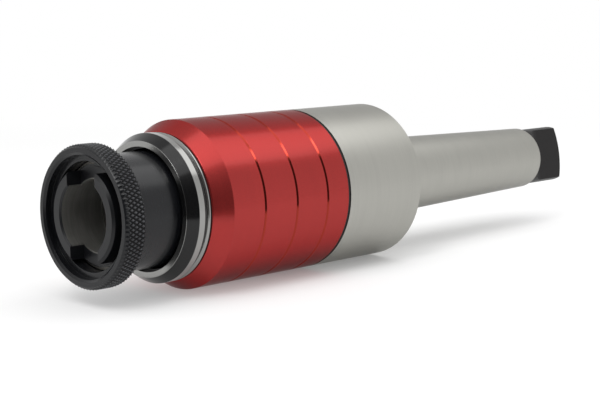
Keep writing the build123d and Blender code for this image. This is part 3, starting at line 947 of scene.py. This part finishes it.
def studio_world():
    """Bright walls under a duller ceiling, with a dim side by the camera that metal mirrors as darkness."""
    world = bpy.data.worlds.new("studio_walls")
    world.use_nodes = True
    tree = world.node_tree
    tree.nodes.clear()
    direction = add_node(tree, "ShaderNodeTexCoord").outputs["Generated"]
    rise = add_node(tree, "ShaderNodeSeparateXYZ", {"Vector": direction}).outputs["Z"]
    height = add_node(tree, "ShaderNodeMapRange", {"Value": rise, "From Max": CEILING_RISE})
    bright_side = add_node(
        tree,
        "ShaderNodeMix",
        {"Factor": height.outputs[0], 6: WALL_COLOUR, 7: CEILING_COLOUR},
        data_type="RGBA",
    ).outputs[2]
    dim_side = Vector((math.cos(DIM_TURN), math.sin(DIM_TURN), DIM_RISE)).normalized()
    towards = add_node(tree, "ShaderNodeVectorMath", {0: direction, 1: dim_side}, operation="DOT_PRODUCT")
    dimness = add_node(
        tree,
        "ShaderNodeMapRange",
        {"Value": towards.outputs["Value"], "From Min": DIM_EDGE, "From Max": DIM_CORE},
        interpolation_type="SMOOTHSTEP",
    )
    colour = add_node(
        tree,
        "ShaderNodeMix",
        {"Factor": dimness.outputs[0], 6: bright_side, 7: DIM_COLOUR},
        data_type="RGBA",
    )
    background = add_node(tree, "ShaderNodeBackground", {"Color": colour.outputs[2], "Strength": 1.0})
    add_node(tree, "ShaderNodeOutputWorld", {"Surface": background})
    return world


class CHUCK_OT_stage(bpy.types.Operator):
    """Set up the floor, the lamps, the studio walls and the camera"""

    bl_idname = "chuck.stage"
    bl_label = "Stage"

    def execute(self, context):
        scene = context.scene
        mesh = bpy.data.meshes.new("studio_floor")
        corners = []
        for corner in range(FLOOR_CORNERS):
            turn = 2 * math.pi * corner / FLOOR_CORNERS
            reach = max(FLOOR_RADIUS * math.cos(turn), -FLOOR_FRONT)
            corners.append(reach * AWAY + FLOOR_RADIUS * math.sin(turn) * LEFT)
        mesh.from_pydata(corners, [], [tuple(range(FLOOR_CORNERS))])
        mesh.materials.append(material_of(matt_floor_with_painted_glow, context))
        floor = bpy.data.objects.new("studio_floor", mesh)
        floor.location.z = WHOLE_LOW.z
        scene.collection.objects.link(floor)

        add_lamp(
            "overhead_softbox",
            place=(0.05, -0.2, 0.78),
            aim=(0.05, -0.2, 0.0),
            width=1.7,
            length=0.75,
            radiance=1.25,
            colour="#ffffff",
        )
        add_lamp(
            "nose_side_softbox",
            place=(-0.64, -0.24, 0.76),
            aim=(-0.06, 0.0, 0.0),
            width=0.2,
            length=0.5,
            radiance=5.5,
            colour="#ffffff",
        )
        scene.world = studio_world()

        camera_data = bpy.data.cameras.new("photo_camera")
        camera_data.lens = CAMERA_LENS
        camera_data.sensor_width = SENSOR_WIDTH
        camera_data.clip_start = 0.01
        camera_data.clip_end = 50.0
        camera = bpy.data.objects.new("photo_camera", camera_data)
        camera.location = CAMERA_PLACE
        camera.rotation_euler = Euler((math.pi / 2 - CAMERA_TILT, 0.0, -CAMERA_TURN))
        scene.collection.objects.link(camera)
        scene.camera = camera
        scene.view_settings.view_transform = "Standard"
        return {"FINISHED"}


class CHUCK_PT_sidebar(bpy.types.Panel):
    """Lists the steps of the scene and the sizes and colours behind them"""

    bl_idname = "CHUCK_PT_sidebar"
    bl_label = "Tapping Chuck"
    bl_space_type = "VIEW_3D"
    bl_region_type = "UI"
    bl_category = "Tapping Chuck"

    def draw(self, context):
        for operator in STEPS:
            self.layout.operator(operator.bl_idname)
        for group in (context.scene.chuck_sizes, context.scene.chuck_colours):
            box = self.layout.box()
            for name in group.__annotations__:
                box.prop(group, name)


STEPS = (
    CHUCK_OT_ground_body,
    CHUCK_OT_seals,
    CHUCK_OT_cover_sleeve,
    CHUCK_OT_lock_ring,
    CHUCK_OT_nose_cap,
    CHUCK_OT_release_collar,
    CHUCK_OT_spindle,
    CHUCK_OT_inner_pieces,
    CHUCK_OT_stage,
)


def register():
    for item in (ChuckSizes, ChuckColours, *STEPS, CHUCK_PT_sidebar):
        bpy.utils.register_class(item)
    bpy.types.Scene.chuck_sizes = PointerProperty(type=ChuckSizes)
    bpy.types.Scene.chuck_colours = PointerProperty(type=ChuckColours)


def unregister():
    del bpy.types.Scene.chuck_colours
    del bpy.types.Scene.chuck_sizes
    for item in reversed((ChuckSizes, ChuckColours, *STEPS, CHUCK_PT_sidebar)):
        bpy.utils.unregister_class(item)


def main():
    register()
    bpy.ops.chuck.ground_body()
    bpy.ops.chuck.seals()
    bpy.ops.chuck.cover_sleeve()
    bpy.ops.chuck.lock_ring()
    bpy.ops.chuck.nose_cap()
    bpy.ops.chuck.release_collar()
    bpy.ops.chuck.spindle()
    bpy.ops.chuck.inner_pieces()
    bpy.ops.chuck.stage()


if __name__ == "__main__":
    main()
